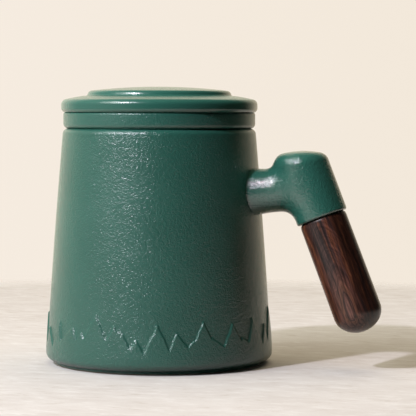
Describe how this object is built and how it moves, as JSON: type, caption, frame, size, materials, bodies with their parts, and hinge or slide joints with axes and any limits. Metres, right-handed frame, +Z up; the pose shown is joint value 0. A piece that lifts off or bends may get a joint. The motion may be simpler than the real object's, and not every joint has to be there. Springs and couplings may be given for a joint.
{
  "type": "lidded tea mug with infuser",
  "caption": "Tapered stoneware mug with a loose lid, a hanging strainer basket and an elbow handle that ends in a turned wooden grip.",
  "frame": {"origin": "centre of the foot ring's contact plane, on the mug's axis", "axes": "+Z up along the mug's axis, +X from that axis towards the handle, +Y across the handle"},
  "size_m": [0.1393, 0.0924, 0.1127],
  "materials": {
    "cup_glaze": "satin",
    "elbow_glaze": "satin",
    "infuser_glaze": "satin",
    "lid_glaze": "satin",
    "dark_wood": "satin",
    "black_rubber": "matte",
    "stainless_steel": "satin",
    "cement": "matte"
  },
  "bodies": {
    "cup": {"cup_body": "cup_glaze", "handle_elbow": "elbow_glaze", "socket_cement": "cement", "handle_stud": "stainless_steel", "joint_washer": "black_rubber", "wooden_grip": "dark_wood"},
    "infuser": {"infuser": "infuser_glaze"},
    "lid": {"lid": "lid_glaze"}
  },
  "joints": [
    {"name": "infuser_lift", "type": "slide", "parent": "cup", "child": "infuser", "axis": [0, 0, 1], "range_m": [0, 0.075]},
    {"name": "lid_lift", "type": "slide", "parent": "infuser", "child": "lid", "axis": [0, 0, 1], "range_m": [0, 0.06]}
  ]
}
